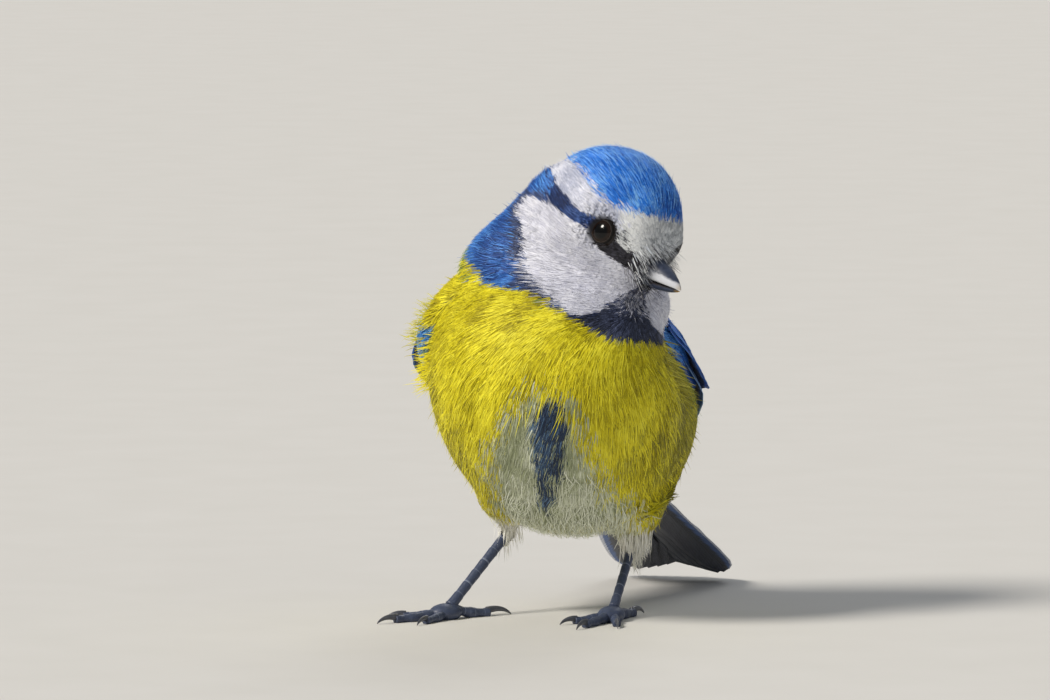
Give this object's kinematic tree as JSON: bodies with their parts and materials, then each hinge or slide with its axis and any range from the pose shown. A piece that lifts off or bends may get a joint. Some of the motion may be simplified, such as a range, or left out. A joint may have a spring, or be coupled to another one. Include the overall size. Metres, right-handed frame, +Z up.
{
  "type": "blue tit",
  "caption": "Blue tit standing with its head turned to its left and looking down, a still life-size model",
  "frame": {"origin": "on the floor under the middle of the bird's overall box", "axes": "+Z up, -Y the way the breast faces, +X the bird's left"},
  "size_m": [0.0592, 0.0914, 0.0775],
  "materials": {
    "plumage_head": "soft white, blue and dark blue head feathers",
    "plumage_neck": "soft dark blue collar and bib feathers",
    "plumage_body": "soft yellow breast and olive green back feathers",
    "plumage_rump": "soft olive rump and grey vent feathers",
    "wing_feathers": "blue vanes with one white bar, dark flight feathers",
    "tail_feathers": "slate vanes with blue edges",
    "thigh_feathers": "soft whitish thigh feathers",
    "leg_scales": "slate blue scaled skin",
    "claw_horn": "dark grey horn, polished",
    "bill_horn": "blue-black horn with pale cutting edges",
    "eye_dark": "dark brown, wet and shining"
  },
  "bodies": {
    "root": {"bill_lower": "bill_horn", "bill_upper": "bill_horn", "claw_left_hallux": "claw_horn", "claw_left_inner": "claw_horn", "claw_left_middle": "claw_horn", "claw_left_outer": "claw_horn", "claw_right_hallux": "claw_horn", "claw_right_inner": "claw_horn", "claw_right_middle": "claw_horn", "claw_right_outer": "claw_horn", "eye_left": "eye_dark", "eye_right": "eye_dark", "head": "plumage_head", "neck": "plumage_neck", "rump": "plumage_rump", "tail": "tail_feathers", "tarsus_left": "leg_scales", "tarsus_right": "leg_scales", "thigh_left": "thigh_feathers", "thigh_right": "thigh_feathers", "toe_left_hallux": "leg_scales", "toe_left_inner": "leg_scales", "toe_left_middle": "leg_scales", "toe_left_outer": "leg_scales", "toe_right_hallux": "leg_scales", "toe_right_inner": "leg_scales", "toe_right_middle": "leg_scales", "toe_right_outer": "leg_scales", "torso": "plumage_body", "wing_left": "wing_feathers", "wing_right": "wing_feathers"}
  },
  "joints": []
}
